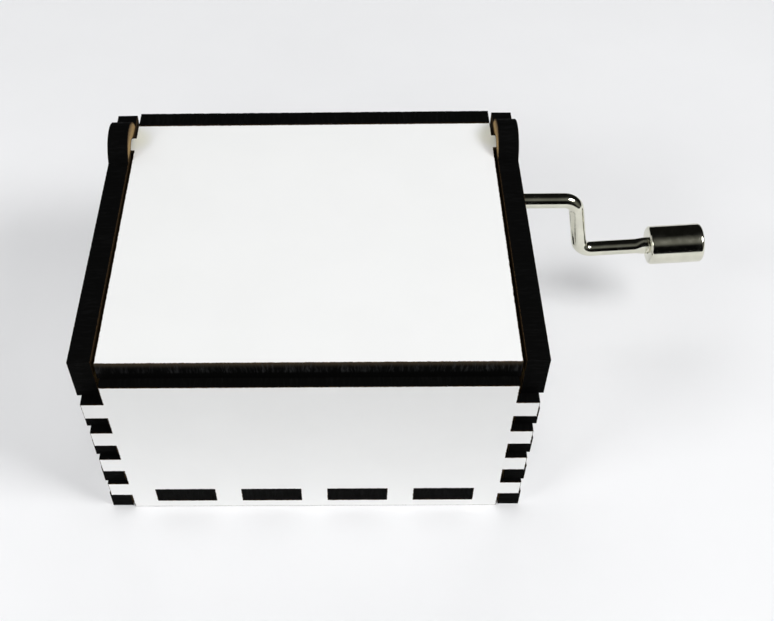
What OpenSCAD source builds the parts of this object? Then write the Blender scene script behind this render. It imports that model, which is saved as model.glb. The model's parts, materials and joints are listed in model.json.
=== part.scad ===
// Hand-cranked cylinder music box in a finger-jointed board case, in millimetres.
// X points to the crank side, Y to the back and Z up. The origin is on the table,
// midway between the side panels and midway along them.

/* [Case] */
// Width over the two side panels
case_w = 64; // [62:1:80]
// Length of a side panel, front to back
case_d = 52; // [51:1:64]
// Height of a side panel
case_h = 36; // [36:0.5:48]
// Thickness of the board
board_t = 3.2; // [2.9:0.1:3.6]
// Height of one corner finger
finger_h = 3.6; // [3.2:0.1:4.2]
// How far the front and back fingers stop short of the side panels' outer faces
finger_short = 0.45; // [0.2:0.05:0.8]
// Gap between the front panel's edges and the side panels
corner_gap = 0.45; // [0.2:0.05:0.8]
// Gap between the back panel's edges and the side panels
back_corner_gap = 0.2; // [0.2:0.05:0.8]
// Clearance above and below each finger
finger_fit = 0.1; // [0.08:0.01:0.2]
// Outward lean of the front panel, in degrees
front_lean = 2.6; // [0:0.1:3]
// Outward lean of the back panel, in degrees
back_lean = 1.4; // [0:0.1:2]
// Outward lean of the side panels, in degrees
side_lean = 0.6; // [0:0.1:1]
// How far the front panel's foot stands proud of the side panels
front_proud = 0.25; // [0.1:0.05:0.5]
// How far the back panel's foot stands proud of the side panels
back_proud = 0.05; // [0.05:0.05:0.5]
// How far the back panel's top edge lies below the side panels' top edge
back_drop = 0.25; // [0:0.05:1]

/* [Floor board] */
// Height of the floor board's underside above the table
floor_z = 2.05; // [1.8:0.05:3]
// Width of one tab of the floor board
tab_w = 9; // [7:0.5:11]
// Distance between the tabs that go through the front and back panels
tab_pitch = 13.25; // [12.5:0.25:15]
// Distance between the tabs that go through the side panels
side_tab_pitch = 14; // [12:0.5:15.5]
// Clearance round each tab in its slot
tab_fit = 0.05; // [0.05:0.01:0.1]

/* [Lid] */
// Gap between the lid and each side panel
lid_side_gap = 0.45; // [0.2:0.05:0.6]
// How far the lid's front edge stands proud of the side panels
lid_front_over = 0.25; // [0:0.05:0.8]
// Distance from the hinge axis to the side panels' rear ends
hinge_inset = 7.3; // [6.8:0.1:9]
// Radius of the ear round each hinge hole
ear_r = 4.8; // [4.2:0.1:5.6]
// Width of the square hinge peg
peg_w = 3; // [2.6:0.1:3.4]
// Running clearance between the peg's corners and the hinge hole
peg_fit = 0.08; // [0.04:0.01:0.1]
// Clearance between the lid's rear edge and the back panel as the lid swings
swing_gap = 0.12; // [0.08:0.01:0.3]
// Clearance between the closed lid and the front panel
seat_gap = 0.04; // [0.02:0.01:0.1]

/* [Crank] */
// Diameter of the crank wire
wire_d = 2.5; // [2.3:0.1:2.7]
// Distance of the crank's axis behind the middle of the case
crank_y = 15.5; // [14.5:0.1:16]
// Reach from the right panel's outer face to the middle of the arm
crank_reach = 10.9; // [8:0.1:16]
// Length of the crank arm, axis to axis
arm_len = 10.4; // [8:0.1:12]
// Length from the middle of the arm to the end of the knob
handle_len = 20.3; // [18:0.1:26]
// Radius of the wire's two bends, to its middle
bend_r = 2.2; // [1.8:0.1:2.8]
// Angle of the arm below the horizontal, pointing forwards
arm_drop = 83; // [0:1:90]
// Outward lean of the arm, in degrees
arm_lean = 10.8; // [0:0.1:15]
// Lean of the handle back to the crank's axis, in degrees
handle_splay = 3.7; // [0:0.1:6]
// Diameter of the knob
knob_d = 6.5; // [5.4:0.1:8]
// Length of the knob
knob_len = 8.9; // [7:0.1:11]
// Running clearance between a turning shaft and its bore
run_fit = 0.06; // [0.03:0.01:0.1]
// Diameter of the crank's hole in the right panel
crank_hole_d = 4.4; // [3.8:0.1:6]

/* [Drum] */
// Distance of the drum's axis to the right of the middle of the case
drum_x = 4; // [2:0.5:5]
// Diameter of the drum
drum_d = 13; // [12.4:0.1:13.2]
// Wall of the drum's tube
drum_wall = 0.7; // [0.5:0.1:1]
// Length of the drum
drum_len = 20.5; // [20:0.1:21.5]
// Diameter of the drum's arbor
arbor_d = 2; // [1.6:0.1:2.6]
// Diameter of one pin
pin_d = 0.44; // [0.36:0.02:0.5]
// How far a pin stands out of the drum
pin_out = 0.9; // [0.6:0.05:1]
// Pins in each track
pins_per_track = 5; // [3:1:7]
// Thickness of the washers on the drum's arbor
washer_t = 0.4; // [0.3:0.05:0.5]
// Width of those washers' rims
washer_rim = 1.1; // [0.9:0.1:1.3]

/* [Comb] */
// Number of teeth
tooth_count = 18; // [18:1:18]
// Distance between two teeth
tooth_pitch = 1.08; // [1:0.01:1.1]
// Slit between two teeth
tooth_slit = 0.3; // [0.2:0.02:0.4]
// Free length of the longest tooth
tooth_long = 13; // [12:0.1:13.5]
// Free length of the shortest tooth
tooth_short = 8.5; // [7:0.1:10]
// Length of the comb, tip to back edge
comb_len = 19; // [18.5:0.1:20]
// Thickness of the comb
comb_t = 1; // [0.8:0.05:1.3]
// Height of the comb's underside above the drum's axis
comb_rise = 0.6; // [0.2:0.1:1]
// Clearance between the teeth's tips and the pins
pluck_gap = 0.12; // [0.1:0.01:0.2]
// Teeth that carry a lead weight
weight_count = 7; // [5:1:9]
// Length of each damper strip
damper_len = 3.4; // [3:0.1:4]
// Length of the comb screws below the comb
comb_screw_len = 5; // [4.5:0.5:6]

/* [Gears] */
// Tooth size: pitch diameter over the number of teeth
gear_module = 0.6; // [0.58:0.01:0.62]
// Teeth of the worm wheel
wheel_teeth = 24; // [24:1:24]
// Thickness of the worm wheel
wheel_w = 1.8; // [1.4:0.1:2]
// Pitch radius of the worm
worm_pitch_r = 2.3; // [2.25:0.01:2.4]
// Free play between the worm's thread and the wheel's teeth
gear_play = 0.4; // [0.36:0.02:0.5]

/* [Movement frame] */
// Thickness of the cast bedplate
bed_t = 2; // [1.8:0.1:2.4]
// Height of the drum's axis above the floor board
axis_h = 11.25; // [11.1:0.05:12]
// Thickness of the stamped brackets
bracket_t = 1.4; // [1:0.1:1.6]
// Diameter of the small screws
screw_d = 2; // [1.6:0.1:2.2]
// Diameter of the mounting screws
mount_screw_d = 2.5; // [2.2:0.1:3]
// Clearance between a screw and its hole
screw_fit = 0.05; // [0.03:0.01:0.1]
// Bedplate's rim behind the comb
bed_rim = 1; // [0.8:0.1:1.5]
// Bedplate's toe in front of the front bracket
bed_toe = 5.6; // [5.4:0.1:6]
// Bedplate's wing to the right of the worm wheel
bed_wing = 5; // [5:0.1:6]

/* [Hidden] */

$fn = 48;
eps = 0.01;             // overshoot of a cut through a face
press_gap = 0.01;       // line fit of pressed pieces
thin_gap = 0.1;         // gap that keeps neighbouring flat faces apart
foot_spare = 0.5;       // part of a side panel's outline that its level foot cuts away

// --- case ---
half_w = case_w / 2;
half_d = case_d / 2;
inner_w = half_w - board_t;                 // inner faces of the side panels
finger_rows = 2 * floor((case_h - 1.5 * board_t) / (2 * finger_h));
fingers_top = finger_rows * finger_h;
// The side panels lean about a line a third of the way up, so their feet stand in a little
lean_z = case_h / 3;
function side_out(z) = (z - lean_z) * tan(side_lean);
finger_reach = half_w - finger_short;       // half width over their fingers
lid_under = case_h - board_t;
hinge_y = half_d - hinge_inset;
hinge_z = case_h - board_t / 2;
hinge_hole_r = norm([peg_w, board_t]) / 2 + peg_fit;
front_panel_h = (lid_under - seat_gap - board_t * sin(front_lean)) / cos(front_lean);
back_panel_h = (case_h - back_drop - board_t * sin(back_lean)) / cos(back_lean);
// The back panel's inner face at the hinge's height, and the lid's tail that clears it
back_inner_y = half_d + back_proud - board_t / cos(back_lean) + hinge_z * tan(back_lean);
tail_swing_r = (back_inner_y - hinge_y) * cos(back_lean) - swing_gap;
lid_tail = sqrt(pow(tail_swing_r, 2) - pow(board_t / 2, 2));
lid_half = inner_w + side_out(lid_under) - lid_side_gap;
lid_front_y = -half_d - lid_front_over;
floor_top = floor_z + board_t;
front_tabs = [-1.5, -0.5, 0.5, 1.5] * tab_pitch;
side_tabs = [-1, 0, 1] * side_tab_pitch;

// --- gears ---
wire_r = wire_d / 2;
drum_z = floor_top + axis_h;
wheel_pitch_r = gear_module * wheel_teeth / 2;
crank_z = drum_z + wheel_pitch_r + worm_pitch_r;
worm_lead = PI * gear_module;
tooth_add = 0.85 * gear_module;             // tooth height above the pitch line
tooth_ded = 1.15 * gear_module;             // tooth depth below it
flank = tan(20);
flat_half = (worm_lead - gear_play) / 4;    // half a tooth's thickness at the pitch line
wheel_tip_r = wheel_pitch_r + tooth_add;
wheel_root_r = wheel_pitch_r - tooth_ded;
worm_tip_r = worm_pitch_r + tooth_add;
worm_root_r = worm_pitch_r - tooth_ded;
worm_half = 3.5;                            // half the length of the thread
worm_hub_half = 4.85;                       // half the length of the worm's hub
worm_steps = 24;                            // thread sections in one turn

// --- drum ---
arbor_r = arbor_d / 2;
wheel_front_y = crank_y - wheel_w / 2;
drum_rear_y = wheel_front_y - thin_gap;
drum_front_y = drum_rear_y - drum_len;
drum_r = drum_d / 2;
bore_r = drum_r - drum_wall;
cap_t = 0.7;                                // depth of an end cap inside the tube
cap_lip = 0.3;                              // part of the cap that stands out of the tube
pin_tip_r = drum_r + pin_out;
washer_r = arbor_r + washer_rim;
hub_gap = 0.15;                             // end play beside each washer
front_bracket_y = drum_front_y - cap_lip - washer_t - 2 * hub_gap;   // its rear face
gear_bracket_y = crank_y + worm_tip_r + 2 * hub_gap;                  // its front face

// --- comb ---
comb_z = drum_z + comb_rise;
comb_tip_x = drum_x - sqrt(pow(pin_tip_r + pluck_gap, 2) - pow(comb_rise, 2));
comb_back_x = comb_tip_x - comb_len;
comb_y0 = (drum_front_y + drum_rear_y) / 2 - tooth_pitch * (tooth_count - 1) / 2;
comb_half_w = tooth_pitch * tooth_count / 2;
comb_mid_y = (drum_front_y + drum_rear_y) / 2;
tooth_w = tooth_pitch - tooth_slit;
comb_base_w = comb_len - tooth_long;        // width of the solid part at the long teeth
comb_screw_x = comb_back_x + comb_base_w / 2;
comb_screw_ys = [for (s = [-0.6, 0.6]) comb_mid_y + s * comb_half_w];
weight_len = 2.6;
damper_set = 1.4;                           // from a tooth's tip to its damper
damper_w = 0.36;
damper_t = 0.14;

// --- movement frame ---
bed_top = floor_top + bed_t;
bed_left = comb_back_x - bed_rim;
bed_right = drum_x + wheel_tip_r + bed_wing;
bed_front = front_bracket_y - bracket_t - bed_toe;
bed_rear = gear_bracket_y + bracket_t + 1.4;
mount_inset = 3.4;                          // from the bedplate's edges to its screws
boss_d = mount_screw_d + 3;
boss_h = 3;
mount_points = [[bed_left + mount_inset, bed_front + mount_inset],
                [bed_left + mount_inset, bed_rear - mount_inset],
                [bed_right - mount_inset, bed_front + mount_inset]];
mount_head_h = 1.3;
mount_washer_t = 0.4;
foot_reach = wheel_tip_r + 1;               // inner edge of the gear bracket's feet
foot_w = 4;
foot_len = 7.4;
neck_rim = 0.4;                             // edge of the gear bracket's wall round its ears
ear_in = worm_hub_half + hub_gap;           // from the drum's middle to an ear's inner face
ear_low = crank_z - worm_tip_r;             // lower edge of the ears, clear of the wheel
ear_top_r = 3;
gear_screws = [for (s = [-1, 1]) [drum_x + s * (foot_reach + foot_w / 2),
                                  gear_bracket_y + bracket_t - foot_len + 2.3]];
front_screws = [for (s = [-1, 1]) [drum_x + s * 3.4, front_bracket_y - bracket_t - 2.4]];
front_bracket_half = 5.6;

// --- crank ---
arm_x = half_w + crank_reach;
clip_t = 0.6;
clip_x = drum_x - ear_in - bracket_t - hub_gap;     // the clip's right face
clip_groove_r = wire_r - 0.25;
wire_tail = 0.9;                            // wire left of the clip
rod_left = clip_x - clip_t - wire_tail;
knob_r = knob_d / 2;
bend_seam = 0.01;
bend_lap = 2;                               // degrees that a bend reaches into a straight
rivet_r = wire_r + 0.45;
rivet_t = 0.6;
recess_d = 0.8;                             // depth of the recess that holds the rivet
knob_play = 0.15;
crimp_len = 2.6;
crimp_half = wire_r + 0.5;
crimp_t = 1.3;

board_brown = [0.44, 0.30, 0.17];
lacquer = [0.95, 0.95, 0.94];
char_black = [0.09, 0.07, 0.06];
steel = [0.72, 0.73, 0.75];
nickel = [0.82, 0.81, 0.78];
brass = [0.80, 0.64, 0.30];
zinc = [0.62, 0.63, 0.65];
lead_grey = [0.42, 0.43, 0.46];
resin_amber = [0.55, 0.40, 0.18];
rubber_black = [0.12, 0.12, 0.12];

// ---------------------------------------------------------------- helpers

// A flat board drawn in X and Z, with its middle plane at y = 0
module upright_board(thick) {
    rotate([90, 0, 0]) linear_extrude(thick, center = true) children();
}

// Slotted screw head and shank, with the head's seat at z = 0 and the shank below
module slotted_screw(shank_d, shank_len, head_d, head_h) {
    slot_w = 0.22 * head_d;
    translate([0, 0, -shank_len]) cylinder(d = shank_d, h = shank_len + eps);
    difference() {
        union() {
            cylinder(d = head_d, h = 0.6 * head_h);
            translate([0, 0, 0.6 * head_h])
                cylinder(d1 = head_d, d2 = 0.8 * head_d, h = 0.4 * head_h);
        }
        translate([-head_d, -slot_w / 2, 0.5 * head_h]) cube([2 * head_d, slot_w, head_h]);
    }
}

// Ring with a rectangular section
module ring(outer_r, inner_r, height) {
    difference() {
        cylinder(r = outer_r, h = height);
        translate([0, 0, -eps]) cylinder(r = inner_r, h = height + 2 * eps);
    }
}

// Lay a piece that is drawn along Z onto the drum's axis, starting at y
module on_drum_axis(y) {
    translate([drum_x, y, drum_z]) rotate([-90, 0, 0]) children();
}

// Lay a piece that is drawn along Z onto the crank's axis, starting at x
module on_crank_axis(x) {
    translate([x, crank_y, crank_z]) rotate([0, 90, 0]) children();
}

// ------------------------------------------------------------------- case

// Rise of a leaning panel's inner edge over its middle
function slant(lean) = board_t / 2 * sin(lean);

// Outline of the front or back panel, seen from the front
module wall_outline(height, lean, gap) {
    plain_half = inner_w - gap;
    translate([-plain_half, 0]) square([2 * plain_half, height]);
    for (row = [1 : 2 : finger_rows - 1])
        translate([-finger_reach, row * finger_h + finger_fit - slant(lean)])
            square([2 * finger_reach, finger_h - 2 * finger_fit]);
}

// Slots for the floor board's tabs, tall enough for the panel's lean
module wall_slots(lean) {
    low = floor_z - 2 * slant(lean) - tab_fit;
    high = floor_top + tab_fit;
    for (x = front_tabs)
        translate([x - tab_w / 2 - tab_fit, low]) square([tab_w + 2 * tab_fit, high - low]);
}

// Panel that leans outwards from its foot, on the front of the case
module leaning_wall(height, lean, proud, gap) {
    translate([0, -half_d - proud + board_t / 2, slant(lean)])
        rotate([lean, 0, 0])
            upright_board(board_t) difference() {
                wall_outline(height, lean, gap);
                wall_slots(lean);
            }
}

module front_panel() {
    color(lacquer) leaning_wall(front_panel_h, front_lean, front_proud, corner_gap);
}

module back_panel() {
    color(lacquer) mirror([0, 1, 0])
        leaning_wall(back_panel_h, back_lean, back_proud, back_corner_gap);
}

// Outline of a side panel in Y and Z, without its crank hole. It starts below the table,
// where the foot is cut level.
module side_outline() {
    slot_rise = board_t * sin(side_lean);   // room in a slot for the panel's lean
    difference() {
        union() {
            translate([-half_d, -foot_spare]) square([case_d, case_h + foot_spare]);
            translate([hinge_y, hinge_z]) circle(r = ear_r);
        }
        for (row = [1 : 2 : finger_rows - 1], end = [-1, 1])
            translate([end * half_d - board_t, row * finger_h])
                square([2 * board_t, finger_h]);
        translate([hinge_y, hinge_z]) circle(r = hinge_hole_r);
        for (y = side_tabs)
            translate([y - tab_w / 2 - tab_fit, floor_z - tab_fit - slot_rise])
                square([tab_w + 2 * tab_fit, board_t + 2 * tab_fit + slot_rise]);
    }
}

// Side panel on the crank side, leaning outwards, with a level foot
module side_wall() {
    difference() {
        translate([inner_w, 0, lean_z]) rotate([0, side_lean, 0]) translate([0, 0, -lean_z])
            rotate([90, 0, 90]) linear_extrude(board_t) children();
        translate([inner_w - board_t, -case_d, -2 * foot_spare])
            cube([3 * board_t, 2 * case_d, 2 * foot_spare]);
    }
}

module left_panel() {
    color(char_black) mirror([1, 0, 0]) side_wall() side_outline();
}

module right_panel() {
    color(char_black) side_wall() difference() {
        side_outline();
        translate([crank_y, crank_z]) circle(d = crank_hole_d);
    }
}

module bottom_panel() {
    front_edge = -half_d - front_proud + board_t + thin_gap;
    rear_edge = half_d + back_proud - board_t - thin_gap;
    front_end = -half_d - front_proud - floor_top * tan(front_lean) / 2;
    rear_end = half_d + back_proud + floor_top * tan(back_lean) / 2;
    side_edge = inner_w + side_out(0) - thin_gap;
    side_end = half_w + side_out(0);
    color(board_brown) translate([0, 0, floor_z]) linear_extrude(board_t) difference() {
        union() {
            translate([-side_edge, front_edge])
                square([2 * side_edge, rear_edge - front_edge]);
            for (x = front_tabs)
                translate([x - tab_w / 2, front_end]) square([tab_w, rear_end - front_end]);
            for (y = side_tabs)
                translate([-side_end, y - tab_w / 2]) square([2 * side_end, tab_w]);
        }
        for (p = mount_points) translate(p) circle(d = mount_screw_d + 2 * screw_fit);
    }
}

module lid() {
    peg_end = half_w + side_out(hinge_z) - thin_gap;
    color(lacquer) translate([0, 0, lid_under]) linear_extrude(board_t) {
        translate([-lid_half, lid_front_y])
            square([2 * lid_half, hinge_y + lid_tail - lid_front_y]);
        translate([-peg_end, hinge_y - peg_w / 2]) square([2 * peg_end, peg_w]);
    }
}

// --------------------------------------------------------- movement frame

module bedplate() {
    seat_y = comb_mid_y - comb_half_w;
    corner_r = 2;
    color(zinc) difference() {
        union() {
            translate([bed_left + corner_r, bed_front + corner_r, floor_top])
                linear_extrude(bed_t) union() {
                    translate([-corner_r, 0])
                        square([bed_right - bed_left, bed_rear - bed_front - 2 * corner_r]);
                    translate([0, -corner_r])
                        square([bed_right - bed_left - 2 * corner_r, bed_rear - bed_front]);
                    for (x = [0, bed_right - bed_left - 2 * corner_r],
                         y = [0, bed_rear - bed_front - 2 * corner_r])
                        translate([x, y]) circle(r = corner_r);
                }
            for (p = mount_points)
                translate([p.x, p.y, bed_top - eps]) cylinder(d = boss_d, h = boss_h + eps);
            translate([comb_back_x, seat_y, bed_top - eps])
                cube([comb_base_w, 2 * comb_half_w, comb_z - bed_top + eps]);
        }
        for (p = mount_points)
            translate([p.x, p.y, floor_top - eps])
                cylinder(d = mount_screw_d + 2 * screw_fit, h = bed_t + boss_h + 3 * eps);
        for (y = comb_screw_ys)
            translate([comb_screw_x, y, comb_z - comb_screw_len - eps])
                cylinder(d = screw_d + 2 * screw_fit, h = comb_screw_len + 2 * eps);
        for (p = concat(gear_screws, front_screws))
            translate([p.x, p.y, floor_top - eps])
                cylinder(d = screw_d + 2 * screw_fit, h = bed_t + 2 * eps);
    }
}

// Front bearing: a stamped angle with a rounded top
module front_bracket() {
    foot_l = 5;
    head_r = 3.6;
    color(steel) difference() {
        union() {
            translate([drum_x, front_bracket_y - bracket_t / 2, 0]) upright_board(bracket_t) {
                translate([-front_bracket_half, bed_top])
                    square([2 * front_bracket_half, 3]);
                translate([-head_r, bed_top]) square([2 * head_r, drum_z - bed_top]);
                translate([0, drum_z]) circle(r = head_r);
            }
            translate([drum_x, front_bracket_y - foot_l / 2, 0]) upright_board(foot_l)
                translate([-front_bracket_half, bed_top])
                    square([2 * front_bracket_half, bracket_t]);
        }
        translate([drum_x, front_bracket_y + eps, drum_z]) rotate([90, 0, 0])
            cylinder(r = arbor_r + run_fit, h = bracket_t + 2 * eps);
        for (p = front_screws)
            translate([p.x, p.y, bed_top - eps])
                cylinder(d = screw_d + 2 * screw_fit, h = bracket_t + 2 * eps);
    }
}

// Rear bearing: a stamped wall with two feet and two ears folded forwards
module gear_bracket() {
    wall_half = foot_reach + foot_w;
    neck_half = ear_in + bracket_t + neck_rim;
    shoulder_h = 4.5;
    color(steel) difference() {
        union() {
            translate([drum_x, gear_bracket_y + bracket_t / 2, 0]) upright_board(bracket_t) {
                translate([-wall_half, bed_top]) square([2 * wall_half, shoulder_h]);
                translate([-neck_half, bed_top])
                    square([2 * neck_half, crank_z + ear_top_r + neck_rim - bed_top]);
            }
            for (s = [-1, 1]) {
                translate([drum_x + s * (foot_reach + foot_w / 2),
                           gear_bracket_y + bracket_t - foot_len / 2, 0])
                    upright_board(foot_len)
                        translate([-foot_w / 2, bed_top]) square([foot_w, bracket_t]);
                translate([drum_x + s * (ear_in + bracket_t / 2), 0, 0])
                    rotate([90, 0, 90]) linear_extrude(bracket_t, center = true) {
                        translate([crank_y, ear_low])
                            square([gear_bracket_y + bracket_t / 2 - crank_y,
                                    crank_z + ear_top_r - ear_low]);
                        intersection() {
                            translate([crank_y, crank_z]) circle(r = ear_top_r);
                            translate([crank_y - ear_top_r, ear_low])
                                square([2 * ear_top_r, 2 * ear_top_r]);
                        }
                    }
            }
        }
        translate([drum_x, gear_bracket_y - eps, drum_z]) rotate([-90, 0, 0])
            cylinder(r = arbor_r + run_fit, h = bracket_t + 2 * eps);
        on_crank_axis(drum_x - ear_in - bracket_t - eps)
            cylinder(r = wire_r + run_fit, h = 2 * (ear_in + bracket_t + eps));
        for (p = gear_screws)
            translate([p.x, p.y, bed_top - eps])
                cylinder(d = screw_d + 2 * screw_fit, h = bracket_t + 2 * eps);
    }
}

module bracket_screws() {
    color(steel) for (p = concat(gear_screws, front_screws))
        translate([p.x, p.y, bed_top + bracket_t])
            slotted_screw(screw_d, bracket_t + bed_t - thin_gap, 1.7 * screw_d, 0.9);
}

module mounting_screws() {
    seat_z = floor_z - mount_washer_t;
    color(steel) for (p = mount_points)
        translate([p.x, p.y, seat_z]) mirror([0, 0, 1])
            slotted_screw(mount_screw_d, mount_washer_t + board_t + bed_t + boss_h - 0.5,
                          1.8 * mount_screw_d, mount_head_h);
}

module mounting_washers() {
    color(nickel) for (p = mount_points)
        translate([p.x, p.y, floor_z - mount_washer_t])
            ring(1.15 * mount_screw_d, mount_screw_d / 2 + screw_fit, mount_washer_t);
}

// ------------------------------------------------------------------- comb

function tooth_y(i) = comb_y0 + i * tooth_pitch;
// Free length of tooth i, from the longest at the front to the shortest at the back
function tooth_len(i) = tooth_long + (tooth_short - tooth_long) * i / (tooth_count - 1);

module comb() {
    tip_len = 1.8;
    tip_half = 0.22;
    color(steel) translate([0, 0, comb_z]) linear_extrude(comb_t) difference() {
        union() {
            polygon([[comb_back_x, comb_mid_y - comb_half_w],
                     [comb_tip_x - tooth_long, comb_mid_y - comb_half_w],
                     [comb_tip_x - tooth_short, comb_mid_y + comb_half_w],
                     [comb_back_x, comb_mid_y + comb_half_w]]);
            for (i = [0 : tooth_count - 1]) {
                translate([comb_tip_x - tooth_len(i) - 1, tooth_y(i) - tooth_w / 2])
                    square([tooth_len(i) + 1 - tip_len, tooth_w]);
                polygon([[comb_tip_x - tip_len - eps, tooth_y(i) - tooth_w / 2],
                         [comb_tip_x, tooth_y(i) - tip_half],
                         [comb_tip_x, tooth_y(i) + tip_half],
                         [comb_tip_x - tip_len - eps, tooth_y(i) + tooth_w / 2]]);
            }
        }
        for (y = comb_screw_ys)
            translate([comb_screw_x, y]) circle(d = screw_d + 2 * screw_fit);
    }
}

// Lead weights under the long teeth, deepest under the lowest note
module comb_weights() {
    color(lead_grey) for (i = [0 : weight_count - 1]) {
        depth = 2.4 - 0.2 * i;
        translate([comb_tip_x - 1.8 - weight_len, tooth_y(i) - tooth_w / 2 + 0.05,
                   comb_z - depth])
            cube([weight_len, tooth_w - 0.1, depth]);
    }
}

// Fine damper strips under the other teeth
module comb_dampers() {
    color(nickel) for (i = [weight_count : tooth_count - 1])
        translate([comb_tip_x - damper_set - damper_len, tooth_y(i) - damper_w / 2,
                   comb_z - damper_t])
            cube([damper_len, damper_w, damper_t]);
}

module comb_screws() {
    color(nickel) for (y = comb_screw_ys)
        translate([comb_screw_x, y, comb_z + comb_t])
            slotted_screw(screw_d, comb_t + comb_screw_len - 0.5, 1.9 * screw_d, 1.1);
}

// ------------------------------------------------------------------- drum

module drum_shell() {
    color(brass) on_drum_axis(drum_front_y) ring(drum_r, bore_r, drum_len);
}

module drum_resin() {
    color(resin_amber) on_drum_axis(drum_front_y + cap_t)
        ring(bore_r, arbor_r, drum_len - 2 * cap_t);
}

// Angle of pin k in track i: an even spread, shifted from track to track
function pin_angle(i, k) = 137.5 * i + 360 / pins_per_track * k + 23 * ((i * k) % 3);

module drum_pins() {
    color(steel) for (i = [0 : tooth_count - 1], k = [0 : pins_per_track - 1])
        translate([drum_x, tooth_y(i), drum_z]) rotate([0, pin_angle(i, k), 0])
            translate([0, 0, bore_r - 0.4]) cylinder(d = pin_d, h = pin_tip_r - bore_r + 0.4,
                                                     $fn = 16);
}

// End cap: a plug in the tube and a thin lip over its end
module drum_cap() {
    difference() {
        union() {
            cylinder(r = bore_r, h = cap_t);
            translate([0, 0, -cap_lip]) cylinder(r = bore_r + 0.3, h = cap_lip);
        }
        translate([0, 0, -cap_lip - eps])
            cylinder(r = arbor_r, h = cap_t + cap_lip + 2 * eps);
    }
}

module drum_cap_front() {
    color(brass) on_drum_axis(drum_front_y) drum_cap();
}

// The rear cap has no lip: the worm wheel covers it
module drum_cap_rear() {
    color(brass) on_drum_axis(drum_rear_y - cap_t) ring(bore_r, arbor_r, cap_t);
}

module drum_arbor() {
    front = front_bracket_y - bracket_t - 0.5;
    rear = gear_bracket_y + bracket_t + 0.5;
    color(steel) on_drum_axis(front) cylinder(r = arbor_r, h = rear - front);
}

module arbor_washers() {
    color(nickel) {
        on_drum_axis(front_bracket_y + hub_gap)
            ring(washer_r, arbor_r + run_fit, washer_t);
        on_drum_axis(gear_bracket_y - hub_gap - washer_t)
            ring(washer_r, arbor_r + run_fit, washer_t);
    }
}

// ------------------------------------------------------------------ gears

module worm_wheel() {
    step = 360 / wheel_teeth;
    hub_end = gear_bracket_y - washer_t - 2 * hub_gap;
    color(brass) on_drum_axis(wheel_front_y - thin_gap) {
        ring(arbor_r + 1.6, arbor_r, hub_end - wheel_front_y + thin_gap);
        linear_extrude(wheel_w + thin_gap) difference() {
            union() {
                circle(r = wheel_root_r, $fn = 96);
                // A gap between two teeth faces the worm at rest
                for (i = [0 : wheel_teeth - 1]) rotate(step * (i + 0.5) + 90)
                    polygon([[wheel_root_r - 0.3, -flat_half - tooth_ded * flank],
                             [wheel_root_r, -flat_half - tooth_ded * flank],
                             [wheel_tip_r, -flat_half + tooth_add * flank],
                             [wheel_tip_r, flat_half - tooth_add * flank],
                             [wheel_root_r, flat_half + tooth_ded * flank],
                             [wheel_root_r - 0.3, flat_half + tooth_ded * flank]]);
            }
            circle(r = arbor_r + 0.8);
            for (a = [30 : 60 : 330]) rotate(a) translate([wheel_root_r - 2, 0]) circle(r = 0.8);
        }
    }
}

// Right-hand thread round the Z axis; its crest crosses the -X side at z = 0
module worm_thread() {
    turns = 2 * worm_half / worm_lead;
    count = ceil(turns * worm_steps);
    root_half = flat_half + tooth_ded * flank;
    tip_half = flat_half - tooth_add * flank;
    sunk_r = worm_root_r - 0.1;
    points = [for (s = [0 : count], c = [[sunk_r, -root_half], [worm_tip_r, -tip_half],
                                         [worm_tip_r, tip_half], [sunk_r, root_half]])
        let (turn = (s - count / 2) / worm_steps, a = 360 * turn + 180)
            [c[0] * cos(a), c[0] * sin(a), c[1] + turn * worm_lead]];
    faces = concat([[3, 2, 1, 0]], [[for (c = [0 : 3]) 4 * count + c]],
        [for (s = [0 : count - 1], c = [0 : 3], half = [0, 1])
            let (a = 4 * s + c, b = 4 * s + (c + 1) % 4)
                half == 0 ? [a, b, b + 4] : [a, b + 4, a + 4]]);
    polyhedron(points, faces);
}

module worm() {
    color(brass) on_crank_axis(drum_x) difference() {
        union() {
            translate([0, 0, -worm_hub_half]) cylinder(r = worm_root_r, h = 2 * worm_hub_half);
            rotate(180) worm_thread();
        }
        translate([0, 0, -worm_hub_half - eps])
            cylinder(r = wire_r + press_gap, h = 2 * (worm_hub_half + eps));
    }
}

// ------------------------------------------------------------------ crank

// Bend in the wire: it comes to the origin along +X and turns towards -Z. It is a hair
// thinner than the straights and reaches a little into them, so that they join cleanly.
module wire_bend(angle) {
    rotate([90, 0, 0]) translate([0, -bend_r, 0]) rotate(90 - angle - bend_lap)
        rotate_extrude(angle = angle + 2 * bend_lap)
            translate([bend_r, 0]) circle(r = wire_r - bend_seam);
}

// The crank's plane holds the rod along X and hangs down -Z before it swings forwards.
// Its origin is the corner where the rod's middle line meets the arm's.
module in_crank_plane() {
    translate([arm_x, crank_y, crank_z]) rotate([arm_drop - 90, 0, 0]) children();
}

// The handle's own frame: along +X from the arm's far end, leaning back to the rod
module on_handle() {
    in_crank_plane() translate(arm_len * [sin(arm_lean), 0, -cos(arm_lean)])
        rotate([0, -handle_splay, 0]) children();
}

knob_from = handle_len - knob_len;          // the knob's inner face along the handle

// Distance from a bend's corner to where the bend starts
function bend_cut(turn) = bend_r * tan(turn / 2);

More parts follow.
